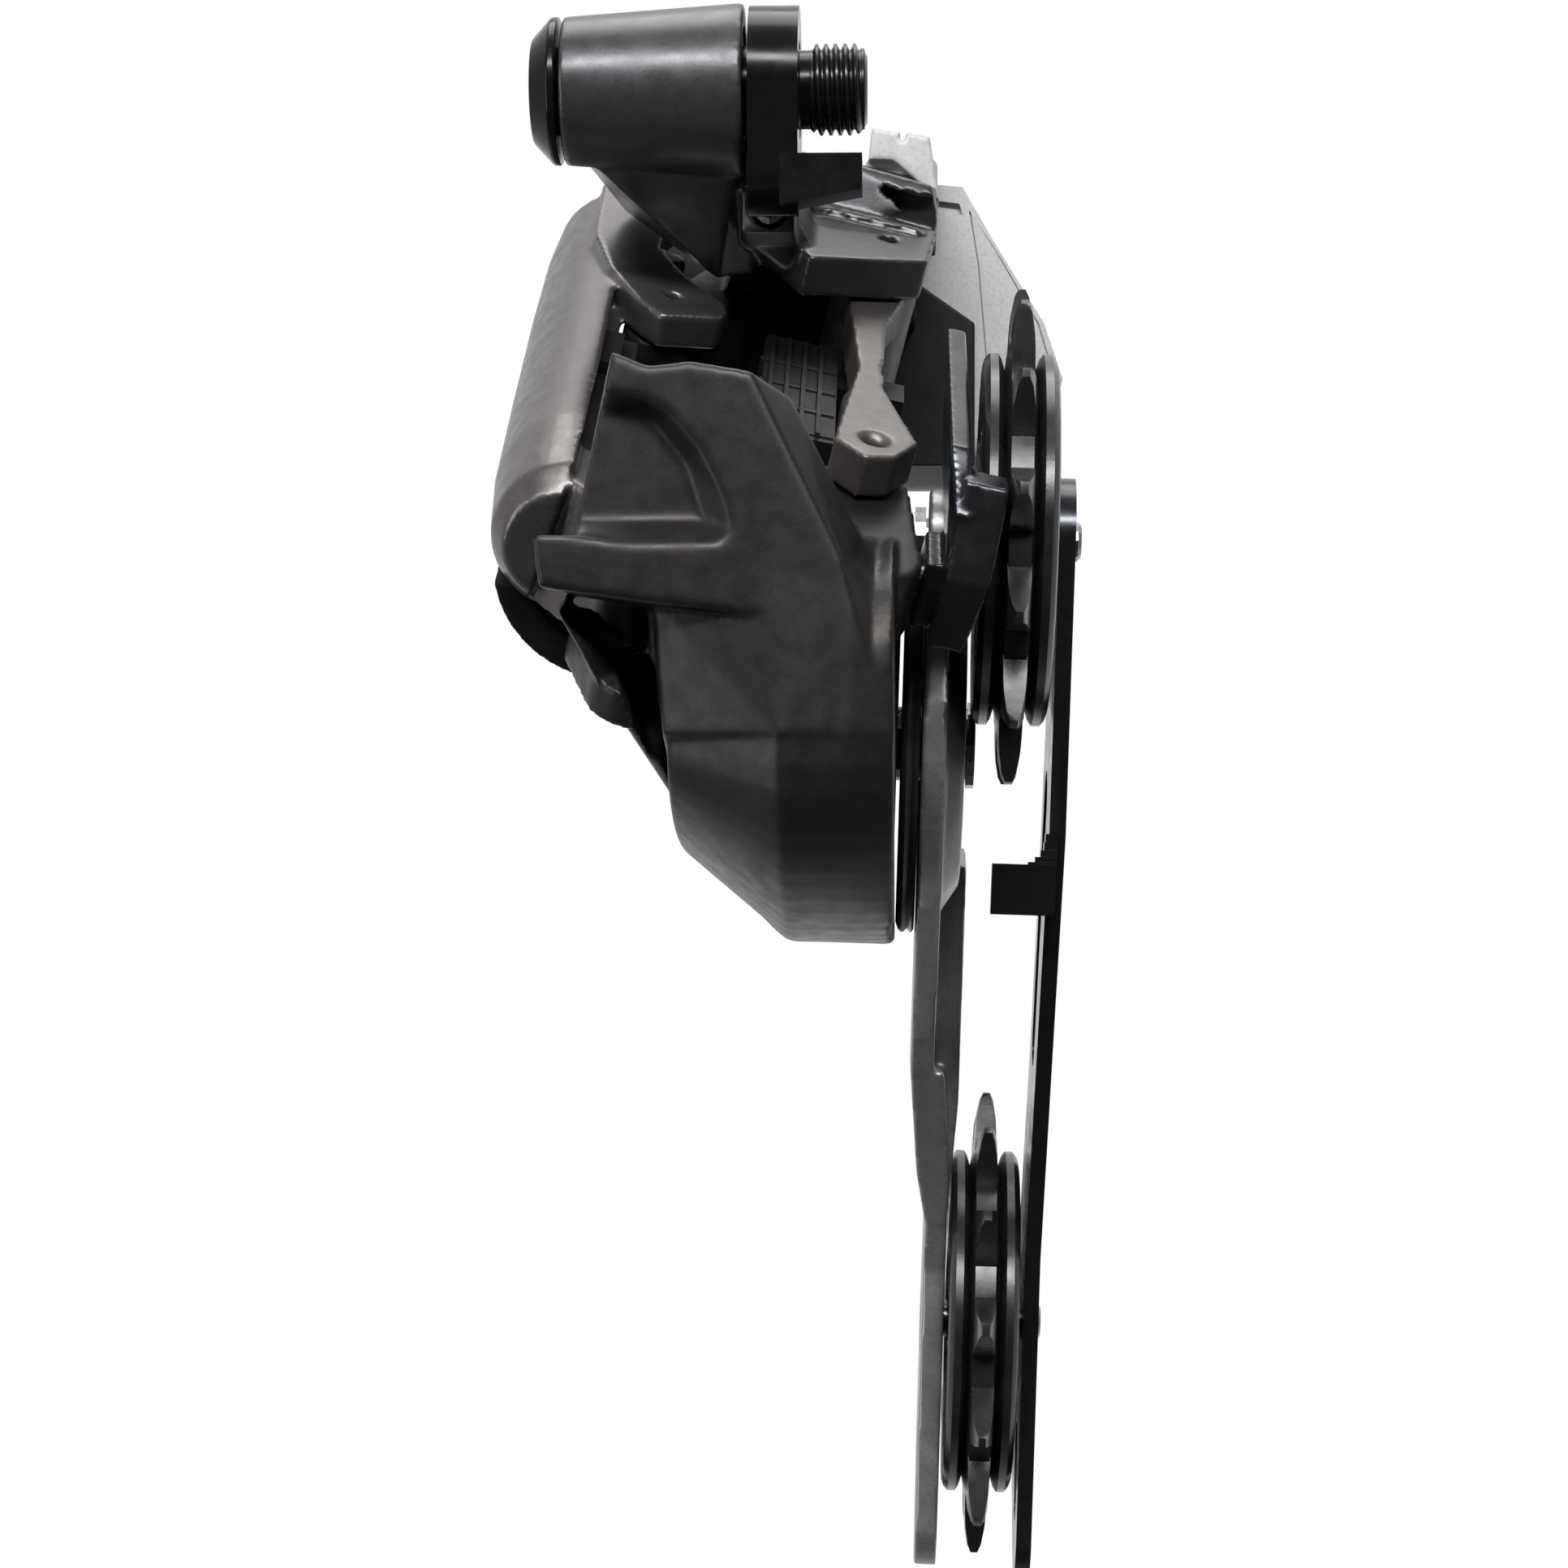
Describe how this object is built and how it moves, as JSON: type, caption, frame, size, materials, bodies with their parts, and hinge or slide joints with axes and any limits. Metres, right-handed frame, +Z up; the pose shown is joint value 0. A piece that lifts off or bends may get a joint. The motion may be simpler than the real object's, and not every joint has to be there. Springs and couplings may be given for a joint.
{
  "type": "rear bicycle derailleur",
  "caption": "Motor driven rear derailleur with a long cage, two toothed pulleys, a parallelogram linkage, a sprung cage and a battery case behind its upper knuckle.",
  "frame": {"origin": "on the mounting bolt's axis, in the face that seats on the frame's hanger", "axes": "+X inboard towards the wheel along the mounting bolt, +Y rearward, +Z up with the bicycle upright"},
  "size_m": [0.0649, 0.1215, 0.1811],
  "materials": {
    "gloss_black_steel": "gloss black over steel",
    "satin_grey_alloy": "satin dark grey anodised alloy",
    "warm_grey_alloy": "satin warm grey alloy",
    "body_alloy": "matt grey brown alloy",
    "forged_alloy": "forged, light grey, satin",
    "dark_steel": "dark coated steel",
    "bright_steel": "machined steel",
    "spring_steel": "spring steel",
    "bronze": "sintered bronze",
    "black_nylon": "glass filled nylon",
    "pulley_nylon": "semi gloss moulded nylon",
    "pale_nylon": "pale grey painted nylon",
    "rubber": "matt black rubber",
    "circuit_board": "green solder mask",
    "winding": "motor can with copper winding",
    "lens": "clear lens"
  },
  "bodies": {
    "root": {"mounting_bolt": "gloss_black_steel", "stop_plate": "gloss_black_steel"},
    "b_knuckle": {"b_knuckle": "satin_grey_alloy", "b_bush": "bronze", "upper_inner_pin": "bright_steel", "upper_outer_pin": "bright_steel", "drive_sector": "spring_steel", "battery_case": "pale_nylon", "battery": "black_nylon", "radio_board": "circuit_board", "status_lens": "lens", "door_hinge_pin": "bright_steel"},
    "b_screw": {"b_tension_screw": "bright_steel"},
    "battery_door": {"battery_door": "pale_nylon"},
    "door_latch": {"door_latch": "black_nylon"},
    "function_button": {"function_button": "black_nylon"},
    "outer_link": {"outer_link": "warm_grey_alloy", "link_bumper": "rubber"},
    "inner_link": {"inner_link": "forged_alloy", "lower_inner_pin": "bright_steel", "drive_case": "black_nylon", "drive_cover": "black_nylon", "drive_motor": "winding", "drive_worm": "bright_steel", "drive_board": "circuit_board"},
    "drive_pinion": {"drive_pinion": "spring_steel"},
    "lower_body": {"lower_body": "body_alloy", "inner_arm": "satin_grey_alloy", "arm_screw": "bright_steel", "clutch_roller": "bright_steel", "clutch_band": "spring_steel", "cage_spring": "spring_steel", "drum_cover": "black_nylon", "lower_outer_pin": "bright_steel"},
    "cage": {"boss_ring": "satin_grey_alloy", "outer_plate": "satin_grey_alloy", "inner_plate": "dark_steel", "cage_axle": "bright_steel", "stop_pin": "bright_steel", "guide_bolt": "bright_steel", "tension_bolt": "bright_steel"},
    "guide_pulley": {"guide_pulley": "pulley_nylon", "guide_bush": "bronze", "guide_cap_outer": "rubber", "guide_cap_inner": "rubber"},
    "tension_pulley": {"tension_pulley": "pulley_nylon", "tension_bush": "bronze", "tension_cap_outer": "rubber", "tension_cap_inner": "rubber"}
  },
  "joints": [
    {"name": "b_axle_swivel", "type": "hinge", "parent": "root", "child": "b_knuckle", "pos_m": [0, 0, 0], "axis": [1, 0, 0], "range_deg": [0, 35]},
    {"name": "b_screw_turn", "type": "hinge", "parent": "b_knuckle", "child": "b_screw", "pos_m": [-0.0035, 0.008, -0.0128], "axis": [0, 1, 0], "range_deg": [-1080, 1080]},
    {"name": "battery_door_hinge", "type": "hinge", "parent": "b_knuckle", "child": "battery_door", "pos_m": [0.012, 0.08, -0.0354], "axis": [-1, 0, 0], "range_deg": [0, 100]},
    {"name": "door_latch_slide", "type": "slide", "parent": "battery_door", "child": "door_latch", "axis": [0, 0, -1], "range_m": [0, 0.003], "stiffness_N_per_m": 60},
    {"name": "function_button_press", "type": "slide", "parent": "b_knuckle", "child": "function_button", "axis": [1, 0, 0], "range_m": [0, 0.0006], "stiffness_N_per_m": 800},
    {"name": "outer_link_swing", "type": "hinge", "parent": "b_knuckle", "child": "outer_link", "pos_m": [-0.01625, 0.01334, -0.02683], "axis": [0.2334, -0.4862, 0.8421], "range_deg": [-12, 38]},
    {"name": "inner_link_swing", "type": "hinge", "parent": "b_knuckle", "child": "inner_link", "pos_m": [0.0067, 0.0303, -0.0234], "axis": [0.2334, -0.4862, 0.8421], "range_deg": [-12, 38]},
    {"name": "drive_pinion_turn", "type": "hinge", "parent": "inner_link", "child": "drive_pinion", "pos_m": [-0.00196, 0.01974, -0.0271], "axis": [0.2334, -0.4862, 0.8421], "range_deg": [-48, 152]},
    {"name": "lower_body_swing", "type": "hinge", "parent": "outer_link", "child": "lower_body", "pos_m": [-0.01625, -0.02649, -0.04983], "axis": [0.2334, -0.4862, 0.8421], "range_deg": [-38, 12]},
    {"name": "cage_swing", "type": "hinge", "parent": "lower_body", "child": "cage", "pos_m": [0.02299, 0.012, -0.07272], "axis": [-0.9995, 0, 0.0314], "range_deg": [0, 90], "stiffness_Nm_per_rad": 0.3, "springref_deg": -171.89},
    {"name": "guide_pulley_spin", "type": "hinge", "parent": "cage", "child": "guide_pulley", "pos_m": [0.0237, 0, -0.05003], "axis": [0.9995, 0, -0.0314], "continuous": true},
    {"name": "tension_pulley_spin", "type": "hinge", "parent": "cage", "child": "tension_pulley", "pos_m": [0.0208, 0.037, -0.14239], "axis": [0.9995, 0, -0.0314], "continuous": true}
  ],
  "couplings": [
    {"joint": "inner_link_swing", "follows": "outer_link_swing", "ratio": 1},
    {"joint": "lower_body_swing", "follows": "outer_link_swing", "ratio": -1},
    {"joint": "drive_pinion_turn", "follows": "outer_link_swing", "ratio": 4}
  ]
}
